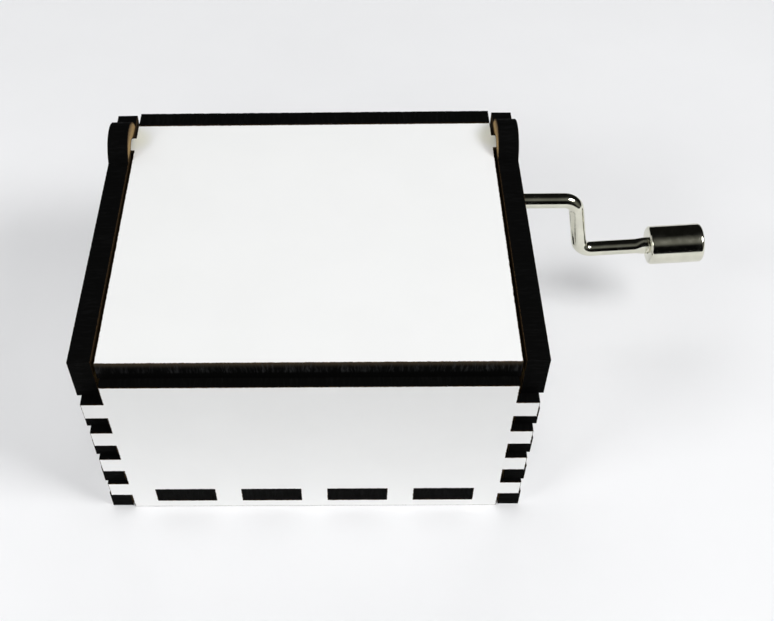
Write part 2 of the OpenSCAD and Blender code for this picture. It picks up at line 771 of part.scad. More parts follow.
module crank_wire() {
    arm_turn = 90 - arm_lean;               // angle of the bend from rod to arm
    turn = arm_turn + handle_splay;         // angle of the bend from arm to handle
    start = bend_cut(arm_turn);
    cut = bend_cut(turn);
    color(nickel) {
        difference() {
            on_crank_axis(rod_left) cylinder(r = wire_r, h = arm_x - start - rod_left);
            on_crank_axis(clip_x - clip_t) ring(wire_r + 1, clip_groove_r, clip_t);
        }
        in_crank_plane() {
            translate([-start, 0, 0]) wire_bend(arm_turn);
            rotate([0, -arm_lean, 0]) translate([0, 0, -arm_len + cut])
                cylinder(r = wire_r, h = arm_len - cut - start);
        }
        on_handle() {
            mirror([1, 0, 0]) translate([-cut, 0, 0]) mirror([0, 0, 1]) wire_bend(turn);
            translate([cut, 0, 0]) rotate([0, 90, 0])
                cylinder(r = wire_r, h = handle_len - recess_d + knob_play + eps - cut);
            translate([handle_len - recess_d + knob_play, 0, 0]) rotate([0, 90, 0])
                cylinder(r1 = rivet_r, r2 = 0.6 * rivet_r, h = rivet_t);
            translate([knob_from - knob_play, 0, 0]) rotate([90, 0, 0])
                linear_extrude(crimp_t, center = true)
                    polygon([[-crimp_len, -wire_r / 2], [-0.7, -crimp_half], [0, -crimp_half],
                             [0, crimp_half], [-0.7, crimp_half], [-crimp_len, wire_r / 2]]);
        }
    }
}

module crank_clip() {
    color(steel) on_crank_axis(clip_x - clip_t + hub_gap / 4)
        difference() {
            ring(wire_r + 1.1, clip_groove_r + press_gap, clip_t - hub_gap / 2);
            translate([-0.7 * wire_r, 0, -eps]) cube([1.4 * wire_r, 2 * wire_d, clip_t]);
        }
}

module knob() {
    edge = 0.35;
    color(nickel) on_handle() translate([knob_from, 0, 0]) rotate([0, 90, 0])
        rotate_extrude() polygon([
            [wire_r + run_fit, 0], [knob_r - edge, 0], [knob_r, edge],
            [knob_r, knob_len - edge], [knob_r - edge, knob_len],
            [rivet_r + 0.3, knob_len], [rivet_r + 0.3, knob_len - recess_d],
            [wire_r + run_fit, knob_len - recess_d]]);
}

left_panel();
right_panel();
front_panel();
back_panel();
bottom_panel();
lid();
bedplate();
front_bracket();
gear_bracket();
bracket_screws();
mounting_screws();
mounting_washers();
comb();
comb_weights();
comb_dampers();
comb_screws();
drum_shell();
drum_resin();
drum_pins();
drum_cap_front();
drum_cap_rear();
drum_arbor();
arbor_washers();
worm_wheel();
crank_wire();
worm();
crank_clip();
knob();
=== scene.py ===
"""Looks for a hand-cranked cylinder music box in a laser-cut board case.

Lengths are in metres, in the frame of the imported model: X to the crank side, Y to the
back, Z up, with the origin on the table in the middle of the case.
"""

import json
import math
import random

import bmesh
import bpy
from bpy.props import FloatProperty, FloatVectorProperty, PointerProperty
from mathutils import Matrix, Vector


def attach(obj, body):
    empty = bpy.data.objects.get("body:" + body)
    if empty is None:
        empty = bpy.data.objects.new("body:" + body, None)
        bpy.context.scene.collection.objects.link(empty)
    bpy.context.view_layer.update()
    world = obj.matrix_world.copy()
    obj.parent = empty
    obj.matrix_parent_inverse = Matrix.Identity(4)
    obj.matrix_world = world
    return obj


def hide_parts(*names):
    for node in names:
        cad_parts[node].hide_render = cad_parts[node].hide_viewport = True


bl_info = {
    "name": "Hand-cranked Music Box",
    "version": (1, 0, 0),
    "blender": (4, 5, 0),
    "location": "View3D > Sidebar > Music Box",
    "description": "Dresses the boards, the crank and the movement of a small music box",
    "category": "Object",
}

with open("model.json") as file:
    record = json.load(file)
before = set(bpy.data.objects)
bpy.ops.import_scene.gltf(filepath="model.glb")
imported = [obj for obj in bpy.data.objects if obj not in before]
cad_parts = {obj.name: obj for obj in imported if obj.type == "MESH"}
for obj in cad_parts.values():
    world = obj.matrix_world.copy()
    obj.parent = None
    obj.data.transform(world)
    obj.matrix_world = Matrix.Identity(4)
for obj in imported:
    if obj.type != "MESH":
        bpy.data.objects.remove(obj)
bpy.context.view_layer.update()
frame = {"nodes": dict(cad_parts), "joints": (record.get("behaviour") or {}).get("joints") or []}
NODES = frame["nodes"]
JOINTS = {joint["name"]: joint for joint in frame["joints"]}
MM = 0.001
CLASSES = []


def joins(cls):
    """Keep a class for register()."""
    CLASSES.append(cls)
    return cls


# ---------------------------------------------------------------- settings


@joins
class BoardSettings(bpy.types.PropertyGroup):
    """Sizes and colours of the laser-cut boards."""

    soften: FloatProperty(
        name="Soften", description="Rounding of the boards' cut corners",
        default=0.05 * MM, min=0.01 * MM, max=0.2 * MM, unit="LENGTH")
    scorch_width: FloatProperty(
        name="Scorch width", description="Width of the scorched rim on a lacquered face",
        default=0.22 * MM, min=0.05 * MM, max=0.5 * MM, unit="LENGTH")
    stain_width: FloatProperty(
        name="Stain width", description="Width of the smoke's stain on a raw face",
        default=0.7 * MM, min=0.1 * MM, max=0.9 * MM, unit="LENGTH")
    ripple_pitch: FloatProperty(
        name="Ripple pitch", description="Distance between two ripples of the laser's cut",
        default=0.34 * MM, min=0.2 * MM, max=1 * MM, unit="LENGTH")
    ripple_depth: FloatProperty(
        name="Ripple depth", description="Depth of the ripples that the laser leaves",
        default=0.05 * MM, min=0.0, max=0.1 * MM, unit="LENGTH")
    lacquer_color: FloatVectorProperty(
        name="Lacquer", description="Colour of the white lacquer",
        default=(0.875, 0.877, 0.868), size=3, min=0, max=1, subtype="COLOR")
    fibre_color: FloatVectorProperty(
        name="Raw fibreboard", description="Colour of the board's raw side",
        default=(0.37, 0.245, 0.105), size=3, min=0, max=1, subtype="COLOR")
    char_color: FloatVectorProperty(
        name="Char", description="Colour of the burnt edges",
        default=(0.0018, 0.0018, 0.0017), size=3, min=0, max=1, subtype="COLOR")
    soot_color: FloatVectorProperty(
        name="Soot lines", description="Colour of the light lines on the burnt edges",
        default=(0.035, 0.035, 0.036), size=3, min=0, max=1, subtype="COLOR")
    scorch_color: FloatVectorProperty(
        name="Scorch", description="Colour of the browned rim beside a cut",
        default=(0.10, 0.055, 0.02), size=3, min=0, max=1, subtype="COLOR")


@joins
class CrankSettings(bpy.types.PropertyGroup):
    """Sizes and colours of the crank and its knob."""

    wire_diameter: FloatProperty(
        name="Wire diameter", description="Diameter of the crank wire",
        default=2.5 * MM, min=2 * MM, max=3 * MM, unit="LENGTH")
    bend_radius: FloatProperty(
        name="Bend radius", description="Radius of the wire's bends, to its middle",
        default=2.2 * MM, min=1.5 * MM, max=3 * MM, unit="LENGTH")
    reach: FloatProperty(
        name="Reach", description="From the middle of the case to the arm's upper corner",
        default=42.9 * MM, min=40 * MM, max=48 * MM, unit="LENGTH")
    handle_length: FloatProperty(
        name="Handle length", description="From the arm's lower corner to the knob's end",
        default=20.3 * MM, min=18 * MM, max=26 * MM, unit="LENGTH")
    flat_width: FloatProperty(
        name="Flat width", description="Width of the wire where it is pressed flat",
        default=3.2 * MM, min=2.5 * MM, max=4 * MM, unit="LENGTH")
    flat_length: FloatProperty(
        name="Flat length", description="Length of the pressed stretch beside the knob",
        default=2.2 * MM, min=1 * MM, max=4 * MM, unit="LENGTH")
    nickel_color: FloatVectorProperty(
        name="Nickel", description="Colour of the nickel plate",
        default=(0.77, 0.76, 0.65), size=3, min=0, max=1, subtype="COLOR")


@joins
class MovementSettings(bpy.types.PropertyGroup):
    """Colours of the movement's metals."""

    brass_color: FloatVectorProperty(
        name="Brass", description="Colour of the turned brass",
        default=(0.78, 0.56, 0.23), size=3, min=0, max=1, subtype="COLOR")
    steel_color: FloatVectorProperty(
        name="Steel", description="Colour of the plated steel",
        default=(0.60, 0.61, 0.63), size=3, min=0, max=1, subtype="COLOR")
    comb_color: FloatVectorProperty(
        name="Comb", description="Colour of the ground spring steel",
        default=(0.50, 0.51, 0.53), size=3, min=0, max=1, subtype="COLOR")
    zinc_color: FloatVectorProperty(
        name="Zinc", description="Colour of the cast bedplate",
        default=(0.46, 0.465, 0.48), size=3, min=0, max=1, subtype="COLOR")
    lead_color: FloatVectorProperty(
        name="Lead", description="Colour of the lead weights",
        default=(0.16, 0.165, 0.18), size=3, min=0, max=1, subtype="COLOR")
    resin_color: FloatVectorProperty(
        name="Resin", description="Colour of the resin inside the drum",
        default=(0.30, 0.16, 0.05), size=3, min=0, max=1, subtype="COLOR")


@joins
class StageSettings(bpy.types.PropertyGroup):
    """Floor, lights and camera."""

    floor_size: FloatProperty(
        name="Floor size", description="Length of the floor's side",
        default=3.0, min=1, max=10, unit="LENGTH")
    floor_color: FloatVectorProperty(
        name="Floor", description="Colour of the paper under the box",
        default=(0.885, 0.885, 0.893), size=3, min=0, max=1, subtype="COLOR")
    sky_strength: FloatProperty(
        name="Sky strength", description="Strength of the room's even light",
        default=0.2, min=0, max=5)
    right_power: FloatProperty(
        name="Right light", description="Power of the soft light on the right",
        default=1.3, min=0, max=100, unit="POWER")
    left_power: FloatProperty(
        name="Left light", description="Power of the soft light on the left",
        default=0.75, min=0, max=100, unit="POWER")
    back_power: FloatProperty(
        name="Back light", description="Power of the large soft light behind the box",
        default=0.67, min=0, max=100, unit="POWER")
    front_power: FloatProperty(
        name="Front light", description="Power of the large soft light before the box",
        default=0.7, min=0, max=100, unit="POWER")
    rear_power: FloatProperty(
        name="Rear light", description="Power of the soft light behind the box's left corner",
        default=0.34, min=0, max=100, unit="POWER")
    card_distance: FloatProperty(
        name="Black card", description="From the middle of the box to the card in front",
        default=75 * MM, min=50 * MM, max=500 * MM, unit="LENGTH")
    lens: FloatProperty(
        name="Lens", description="Focal length of the camera, in millimetres",
        default=50.65, min=20, max=200)
    pitch: FloatProperty(
        name="Pitch", description="How far the camera looks down",
        default=math.radians(48.61), subtype="ANGLE")
    roll: FloatProperty(
        name="Roll", description="How far the camera is rolled",
        default=math.radians(-1.29), subtype="ANGLE")
    yaw: FloatProperty(
        name="Yaw", description="How far the camera is turned to the side",
        default=math.radians(-1.21), subtype="ANGLE")
    place: FloatVectorProperty(
        name="Place", description="Where the camera stands",
        default=(5.43 * MM, -116.52 * MM, 148.89 * MM), size=3, subtype="TRANSLATION")
    shift: FloatProperty(
        name="Shift", description="Sideways shift of the lens, as a share of the width",
        default=0.0695, min=-0.2, max=0.2)


def settings(name):
    """One of the setting groups, by its short name."""
    return getattr(bpy.context.scene, "music_box_" + name)


# ------------------------------------------------------------ shader groups


def new_group(name, inputs, outputs):
    """Empty shader node group with its sockets, ready for its nodes."""
    tree = bpy.data.node_groups.new(name, "ShaderNodeTree")
    for label, kind, default in inputs:
        socket = tree.interface.new_socket(name=label, in_out="INPUT", socket_type=kind)
        socket.default_value = default
    for label, kind in outputs:
        tree.interface.new_socket(name=label, in_out="OUTPUT", socket_type=kind)
    return tree, tree.nodes.new("NodeGroupInput"), tree.nodes.new("NodeGroupOutput")


def feed(tree, socket, value):
    """Give an input socket a plain value, or a link where the value is a socket."""
    if isinstance(value, bpy.types.NodeSocket):
        tree.links.new(value, socket)
    else:
        socket.default_value = value


def math_node(tree, operation, *values):
    """Math node fed by sockets or numbers; returns its output socket."""
    node = tree.nodes.new("ShaderNodeMath")
    node.operation = operation
    for socket, value in zip(node.inputs, values):
        feed(tree, socket, value)
    return node.outputs[0]


def spread(tree, value, low, high, to_low=0.0, to_high=1.0):
    """Map Range node from low..high to to_low..to_high; returns its output socket."""
    node = tree.nodes.new("ShaderNodeMapRange")
    node.interpolation_type = "SMOOTHSTEP"
    names = ("Value", "From Min", "From Max", "To Min", "To Max")
    for name, number in zip(names, (value, low, high, to_low, to_high)):
        feed(tree, node.inputs[name], number)
    return node.outputs["Result"]


def blend_colors(tree, share, first, second):
    """Mix node for colours; returns its output socket."""
    node = tree.nodes.new("ShaderNodeMix")
    node.data_type = "RGBA"
    feed(tree, node.inputs[0], share)
    for socket, value in ((node.inputs[6], first), (node.inputs[7], second)):
        linked = isinstance(value, bpy.types.NodeSocket)
        feed(tree, socket, value if linked else (*value, 1))
    return node.outputs[2]


def noise_node(tree, vector, scale, detail=2.0, roughness=0.5):
    """Noise texture on the given coordinates; returns its value socket."""
    node = tree.nodes.new("ShaderNodeTexNoise")
    names = ("Vector", "Scale", "Detail", "Roughness")
    for name, value in zip(names, (vector, scale, detail, roughness)):
        feed(tree, node.inputs[name], value)
    return node.outputs["Fac"]


def object_place(tree):
    """Place on the piece, in the piece's own coordinates, as a vector socket."""
    return tree.nodes.new("ShaderNodeTexCoord").outputs["Object"]


def axes(tree, vector):
    """The output sockets X, Y and Z of a vector socket."""
    parts = tree.nodes.new("ShaderNodeSeparateXYZ")
    tree.links.new(vector, parts.inputs[0])
    return parts.outputs


def mix_shaders(tree, share, first, second):
    """Mix Shader node fed by three sockets; returns its output socket."""
    node = tree.nodes.new("ShaderNodeMixShader")
    for socket, value in zip(node.inputs, (share, first, second)):
        tree.links.new(value, socket)
    return node.outputs[0]


def shaded(color, share):
    """A colour made darker or lighter by a share."""
    return tuple(min(1, share * channel) for channel in color)


def stretched(tree, vector, scale):
    """Mapping node that scales the coordinates; returns its vector socket."""
    node = tree.nodes.new("ShaderNodeMapping")
    node.inputs["Scale"].default_value = scale
    tree.links.new(vector, node.inputs["Vector"])
    return node.outputs["Vector"]


def make_laser_lines():
    """Lines that a laser leaves down a cut edge, from the edge's own UV map in millimetres."""
    tree, given, out = new_group(
        "laser_lines",
        [("Pitch", "NodeSocketFloat", 3.0), ("Contrast", "NodeSocketFloat", 0.5)],
        [("Lines", "NodeSocketFloat"), ("Height", "NodeSocketFloat")])
    edge = tree.nodes.new("ShaderNodeUVMap")
    edge.uv_map = "cut"
    wavy = noise_node(tree, stretched(tree, edge.outputs["UV"], (0.6, 0.5, 1)), 1.0)
    bend = tree.nodes.new("ShaderNodeCombineXYZ")
    tree.links.new(math_node(tree, "MULTIPLY", wavy, 0.9), bend.inputs["X"])
    moved = tree.nodes.new("ShaderNodeVectorMath")
    moved.operation = "ADD"
    tree.links.new(stretched(tree, edge.outputs["UV"], (1, 0.10, 1)), moved.inputs[0])
    tree.links.new(bend.outputs[0], moved.inputs[1])
    fine = noise_node(tree, moved.outputs[0], given.outputs["Pitch"], 4, 0.65)
    broad = noise_node(tree, stretched(tree, edge.outputs["UV"], (0.35, 0.12, 1)), 1.0, 2)
    lines = spread(tree, fine, 0.46, 0.68)
    patchy = math_node(tree, "MULTIPLY", lines, spread(tree, broad, 0.35, 0.65, 0.4, 1.0))
    tree.links.new(math_node(tree, "MULTIPLY", patchy, given.outputs["Contrast"]),
                   out.inputs["Lines"])
    tree.links.new(fine, out.inputs["Height"])
    return tree


def make_fine_wear():
    """Faint smudges and hairlines over a metal or lacquer, from the object's coordinates."""
    tree, given, out = new_group(
        "fine_wear",
        [("Smudge Scale", "NodeSocketFloat", 250.0), ("Low", "NodeSocketFloat", 0.2),
         ("High", "NodeSocketFloat", 0.35)],
        [("Roughness", "NodeSocketFloat"), ("Height", "NodeSocketFloat")])
    place = object_place(tree)
    smudge = noise_node(tree, place, given.outputs["Smudge Scale"], 3, 0.6)
    tree.links.new(
        spread(tree, smudge, 0.35, 0.7, given.outputs["Low"], given.outputs["High"]),
        out.inputs["Roughness"])
    tree.links.new(noise_node(tree, place, 2600.0, 2, 0.6), out.inputs["Height"])
    return tree


def make_turned_lines():
    """Fine rings left by a lathe round the drum's axis, as a mask and a height."""
    tree, given, out = new_group(
        "turned_lines",
        [("Lines", "NodeSocketFloat", 2500.0)],
        [("Mask", "NodeSocketFloat"), ("Height", "NodeSocketFloat")])
    along = tree.nodes.new("ShaderNodeCombineXYZ")
    tree.links.new(axes(tree, object_place(tree))["Y"], along.inputs["X"])
    rings = noise_node(tree, along.outputs[0], given.outputs["Lines"], 3, 0.7)
    tree.links.new(spread(tree, rings, 0.4, 0.65), out.inputs["Mask"])
    tree.links.new(rings, out.inputs["Height"])
    return tree


GROUP_MAKERS = {"laser_lines": make_laser_lines, "fine_wear": make_fine_wear,
                "turned_lines": make_turned_lines}
GROUPS = {}


def group_node(tree, name, **values):
    """Place a shared group in a material's tree and set its inputs."""
    if name not in GROUPS:
        GROUPS[name] = GROUP_MAKERS[name]()
    node = tree.nodes.new("ShaderNodeGroup")
    node.node_tree = GROUPS[name]
    for label, value in values.items():
        node.inputs[label.replace("_", " ")].default_value = value
    return node


# --------------------------------------------------------------- materials


def new_material(name, roughness=0.4, metallic=0.0, specular=0.5):
    """Principled material; returns the material, its tree and its shader."""
    material = bpy.data.materials.new(name)
    material.use_nodes = True
    tree = material.node_tree
    shader = tree.nodes["Principled BSDF"]
    shader.inputs["Roughness"].default_value = roughness
    shader.inputs["Metallic"].default_value = metallic
    shader.inputs["Specular IOR Level"].default_value = specular
    return material, tree, shader


def add_bump(tree, shader, height, distance, strength=1.0):
    """Bump node from a height socket into the shader's normal."""
    bump = tree.nodes.new("ShaderNodeBump")
    bump.inputs["Distance"].default_value = distance
    bump.inputs["Strength"].default_value = strength
    tree.links.new(height, bump.inputs["Height"])
    tree.links.new(bump.outputs["Normal"], shader.inputs["Normal"])


def ragged_rim(tree, place, scale, raggedness):
    """Scorch beside a cut with a ragged inner edge, from the board's scorch attribute."""
    rim = tree.nodes.new("ShaderNodeAttribute")
    rim.attribute_name = "scorch"
    grain = noise_node(tree, place, scale, 2)
    return math_node(tree, "ADD", rim.outputs["Fac"],
                     math_node(tree, "MULTIPLY", grain, raggedness))


def lid_smoke(tree, place):
    """Share of painted warm shade on the lid, in round spots beside the hinge's rings."""
    ring_x, ring_y = 29.3 * MM, 20 * MM
    lid_edge = 29.2 * MM
    full, faded = 1.5 * MM, 4 * MM
    parts = axes(tree, place)
    side = math_node(tree, "ABSOLUTE", parts["X"])
    along = math_node(tree, "SUBTRACT", parts["Y"], ring_y)
    inward = math_node(tree, "SUBTRACT", side, ring_x)
    reach = math_node(tree, "SQRT", math_node(
        tree, "ADD", math_node(tree, "MULTIPLY", along, along),
        math_node(tree, "MULTIPLY", inward, inward)))
    return math_node(tree, "MULTIPLY", spread(tree, reach, full, faded, 1.0, 0.0),
                     math_node(tree, "LESS_THAN", side, lid_edge))


def white_lacquer():
    """Sprayed white lacquer: faint mottle, tiny specks, a browned rim beside each cut and
    painted warm shade beside the hinge's rings.
    """
    boards = settings("boards")
    speck_color = (0.25, 0.23, 0.2)
    # Tint of the painted warm shade that the hinge's rings cast on the lid
    hinge_shade_tint = (0.97, 0.97, 0.87)
    material, tree, shader = new_material("white_lacquer", 0.32, specular=0.35)
    place = object_place(tree)
    mottle = noise_node(tree, place, 90.0, 3)
    base = blend_colors(tree, spread(tree, mottle, 0.3, 0.7),
                        shaded(boards.lacquer_color, 0.985), tuple(boards.lacquer_color))
    specks = tree.nodes.new("ShaderNodeTexVoronoi")
    specks.inputs["Scale"].default_value = 110.0
    tree.links.new(place, specks.inputs["Vector"])
    near = spread(tree, specks.outputs["Distance"], 0.016, 0.024, 1.0, 0.0)
    chosen = math_node(tree, "GREATER_THAN",
                       noise_node(tree, specks.outputs["Position"], 37.0, 0), 0.62)
    base = blend_colors(tree, math_node(tree, "MULTIPLY", near, chosen), base, speck_color)
    base = blend_colors(tree, spread(tree, ragged_rim(tree, place, 3200.0, 0.9), 1.0, 1.5),
                        base, tuple(boards.scorch_color))
    # Painted warm shade on the lid beside the hinge's rings
    hinge_shaded = tuple(tint * channel for tint, channel in zip(hinge_shade_tint, boards.lacquer_color))
    base = blend_colors(tree, lid_smoke(tree, place), base, hinge_shaded)
    tree.links.new(base, shader.inputs["Base Color"])
    wear = group_node(tree, "fine_wear", Smudge_Scale=140.0, Low=0.28, High=0.42)
    tree.links.new(wear.outputs["Roughness"], shader.inputs["Roughness"])
    add_bump(tree, shader, noise_node(tree, place, 420.0, 3), 0.02 * MM, 0.35)
    return material


def rim_smoke(tree, place, clouds):
    """Share of smoke stain and painted shade along the case's rim, where the gap beside the lid
    lies, and of smoke over the tops of the hinge's rings.
    """
    starts, darkens = 33.4 * MM, 34.2 * MM
    fades, ends = 36.6 * MM, 37.2 * MM
    ring_low, ring_top = 37.8 * MM, 39.4 * MM
    waver = 1.2 * MM
    rise = math_node(tree, "ADD", axes(tree, place)["Z"],
                     math_node(tree, "MULTIPLY", clouds, waver))
    rim = math_node(tree, "MULTIPLY", spread(tree, rise, starts, darkens),
                    spread(tree, rise, fades, ends, 1.0, 0.0))
    both = math_node(tree, "ADD", rim, spread(tree, rise, ring_low, ring_top, 0.0, 0.7))
    return math_node(tree, "MULTIPLY", both, 0.9)


def raw_fibreboard():
    """Raw face of the board: matted wood fibres, browned beside each cut, with smoke stain and
    painted shade along the case's rim.
    """
    boards = settings("boards")
    material, tree, shader = new_material("raw_fibreboard", 0.82, specular=0.2)
    place = object_place(tree)
    fibres = noise_node(tree, stretched(tree, place, (1, 1.8, 1.4)), 2100.0, 5, 0.7)
    clouds = noise_node(tree, place, 120.0, 3)
    base = blend_colors(tree, spread(tree, fibres, 0.35, 0.68),
                        shaded(boards.fibre_color, 0.74), shaded(boards.fibre_color, 1.22))
    base = blend_colors(tree, spread(tree, clouds, 0.3, 0.8, 0.0, 0.5), base,
                        tuple(boards.fibre_color))
    base = blend_colors(tree, spread(tree, ragged_rim(tree, place, 2400.0, 0.8), 0.8, 1.4),
                        base, shaded(boards.scorch_color, 0.35))
    # Smoke stain and painted shade in the gap beside the lid, along the case's rim
    base = blend_colors(tree, rim_smoke(tree, place, clouds), base,
                        shaded(boards.scorch_color, 0.3))
    tree.links.new(base, shader.inputs["Base Color"])
    add_bump(tree, shader, fibres, 0.05 * MM, 0.5)
    return material


def burnt_wall(name, contrast, top=None):
    """Charred wall of a laser cut, with light lines of soot down it.

    With a top, the soot fades below that height and the wall is browner just under it.
    """
    boards = settings("boards")
    material, tree, shader = new_material(name, 0.8, specular=0.04)
    lines = group_node(tree, "laser_lines", Pitch=3.4, Contrast=contrast)
    soot = lines.outputs["Lines"]
    base = tuple(boards.char_color)
    if top:
        brown, brown_depth = (0.045, 0.034, 0.022), 1.5 * MM
        soot_fades, soot_ends = 1.8 * MM, 2.3 * MM
        depth = math_node(tree, "SUBTRACT", top, axes(tree, object_place(tree))["Z"])
        soot = math_node(tree, "MULTIPLY", soot,
                         spread(tree, depth, soot_fades, soot_ends, 1.0, 0.0))
        glow = spread(tree, depth, 0.0, brown_depth, 1.0, 0.0)
        base = blend_colors(tree, math_node(tree, "POWER", glow, 2.2), base, brown)
    base = blend_colors(tree, soot, base, tuple(boards.soot_color))
    tree.links.new(base, shader.inputs["Base Color"])
    tree.links.new(spread(tree, lines.outputs["Height"], 0.3, 0.75, 0.9, 0.7),
                   shader.inputs["Roughness"])
    add_bump(tree, shader, lines.outputs["Height"], 0.04 * MM, 0.6)
    return material


def scorched_corner():
    """Browned corner between a board's face and its burnt edge."""
    boards = settings("boards")
    material, tree, shader = new_material("scorched_corner", 0.8, specular=0.08)
    lines = group_node(tree, "laser_lines", Pitch=2.6, Contrast=1.0)
    base = blend_colors(tree, spread(tree, lines.outputs["Height"], 0.4, 0.62),
                        shaded(boards.char_color, 2), tuple(boards.scorch_color))
    tree.links.new(base, shader.inputs["Base Color"])
    return material


def plated_metal(name, color, low, high, smudge=300.0, bump=0.0):
    """Metal with faint smudges, used for the nickel, the steel and the screws."""
    material, tree, shader = new_material(name, low, 1.0)
    tint = noise_node(tree, object_place(tree), smudge, 3)
    base = blend_colors(tree, spread(tree, tint, 0.3, 0.75), shaded(color, 0.86), tuple(color))
    tree.links.new(base, shader.inputs["Base Color"])
    wear = group_node(tree, "fine_wear", Smudge_Scale=1.7 * smudge, Low=low, High=high)
    tree.links.new(wear.outputs["Roughness"], shader.inputs["Roughness"])
    if bump:
        add_bump(tree, shader, wear.outputs["Height"], bump, 0.4)
    return material


def turned_brass():
    """Brass with the fine rings of a lathe and a little tarnish."""
    tarnish_color = (0.42, 0.26, 0.10)
    material, tree, shader = new_material("turned_brass", 0.22, 1.0)
    clouds = noise_node(tree, object_place(tree), 160.0, 4, 0.6)
    base = blend_colors(tree, spread(tree, clouds, 0.45, 0.8),
                        tuple(settings("movement").brass_color), tarnish_color)
    tree.links.new(base, shader.inputs["Base Color"])
    rings = group_node(tree, "turned_lines", Lines=5200.0)
    tree.links.new(spread(tree, rings.outputs["Mask"], 0.0, 1.0, 0.16, 0.34),
                   shader.inputs["Roughness"])
    add_bump(tree, shader, rings.outputs["Height"], 0.01 * MM, 0.5)
    return material


def ground_steel():
    """Spring steel with grinding lines across the comb's teeth."""
    color = settings("movement").comb_color
    material, tree, shader = new_material("ground_steel", 0.3, 0.75)
    along = stretched(tree, object_place(tree), (1, 0.06, 1))
    grain = noise_node(tree, along, 9000.0, 3, 0.7)
    base = blend_colors(tree, spread(tree, grain, 0.35, 0.7), shaded(color, 0.7), tuple(color))
    tree.links.new(base, shader.inputs["Base Color"])
    tree.links.new(spread(tree, grain, 0.35, 0.7, 0.38, 0.22), shader.inputs["Roughness"])
    add_bump(tree, shader, grain, 0.008 * MM, 0.5)
    return material


def cast_zinc():
    """Tumbled zinc casting: grainy skin and grey mottle."""
    color = settings("movement").zinc_color
    material, tree, shader = new_material("cast_zinc", 0.5, 0.6)
    place = object_place(tree)
    grain = noise_node(tree, place, 1700.0, 4, 0.65)
    clouds = noise_node(tree, place, 180.0, 3)
    base = blend_colors(tree, spread(tree, clouds, 0.3, 0.7), shaded(color, 0.78), tuple(color))
    tree.links.new(base, shader.inputs["Base Color"])
    tree.links.new(spread(tree, grain, 0.3, 0.7, 0.42, 0.62), shader.inputs["Roughness"])
    add_bump(tree, shader, grain, 0.05 * MM, 0.6)
    return material


def dull_lead():
    """Soft grey lead with a dull, uneven skin."""
    color = settings("movement").lead_color
    material, tree, shader = new_material("dull_lead", 0.6, 0.8)
    skin = noise_node(tree, object_place(tree), 1400.0, 4, 0.6)
    base = blend_colors(tree, spread(tree, skin, 0.3, 0.7), shaded(color, 0.6), tuple(color))
    tree.links.new(base, shader.inputs["Base Color"])
    add_bump(tree, shader, skin, 0.05 * MM, 0.5)
    return material


def cast_resin():
    """Amber resin that holds the drum's pins."""
    color = settings("movement").resin_color
    material, tree, shader = new_material("cast_resin", 0.3)
    clouds = noise_node(tree, object_place(tree), 500.0, 3)
    base = blend_colors(tree, spread(tree, clouds, 0.3, 0.7), shaded(color, 0.6), tuple(color))
    tree.links.new(base, shader.inputs["Base Color"])
    add_bump(tree, shader, clouds, 0.02 * MM, 0.3)
    return material


MATERIALS = {}


def finish(name):
    """A material by its name, made the first time it is asked for."""
    crank, movement = settings("crank"), settings("movement")
    lid_top = 36 * MM
    makers = {
        "white_lacquer": white_lacquer, "raw_fibreboard": raw_fibreboard,
        "burnt_edge": lambda: burnt_wall("burnt_edge", 0.65, lid_top),
        "charred_edge": lambda: burnt_wall("charred_edge", 0.07),
        "scorched_corner": scorched_corner,
        "bright_nickel": lambda: plated_metal(
            "bright_nickel", crank.nickel_color, 0.08, 0.16, 420.0),
        "plated_steel": lambda: plated_metal(
            "plated_steel", movement.steel_color, 0.24, 0.4, 350.0, 0.01 * MM),
        "screw_steel": lambda: plated_metal(
            "screw_steel", movement.steel_color, 0.16, 0.3, 600.0, 0.006 * MM),
        "turned_brass": turned_brass, "ground_steel": ground_steel,
        "cast_zinc": cast_zinc, "dull_lead": dull_lead, "cast_resin": cast_resin,
    }
    if name not in MATERIALS:
        MATERIALS[name] = makers[name]()
    return MATERIALS[name]


def object_from(mesh, name, finish_names, sharp):
    """Turn a bmesh into an object with its finishes, smooth but for its sharp corners."""
    data = bpy.data.meshes.new(name)
    bmesh.ops.recalc_face_normals(mesh, faces=mesh.faces)
    mesh.to_mesh(data)
    mesh.free()
    for finish_name in finish_names:
        data.materials.append(finish(finish_name))
    data.shade_smooth()
    data.set_sharp_from_angle(angle=math.radians(sharp))
    made = bpy.data.objects.new(name, data)
    bpy.context.scene.collection.objects.link(made)
    return made


# ------------------------------------------------------------------ boards


def largest_side(mesh, outward):
    """Normal of the board's largest flat side that faces outward."""
    areas = {}
    for face in mesh.polygons:
        if face.normal.dot(outward) > 0.9:
            key = tuple(round(c, 4) for c in face.normal)
            areas[key] = areas.get(key, 0) + face.area
    if not areas:
        raise RuntimeError("the board has no side that faces " + str(tuple(outward)))
    return Vector(max(areas, key=areas.get)).normalized()


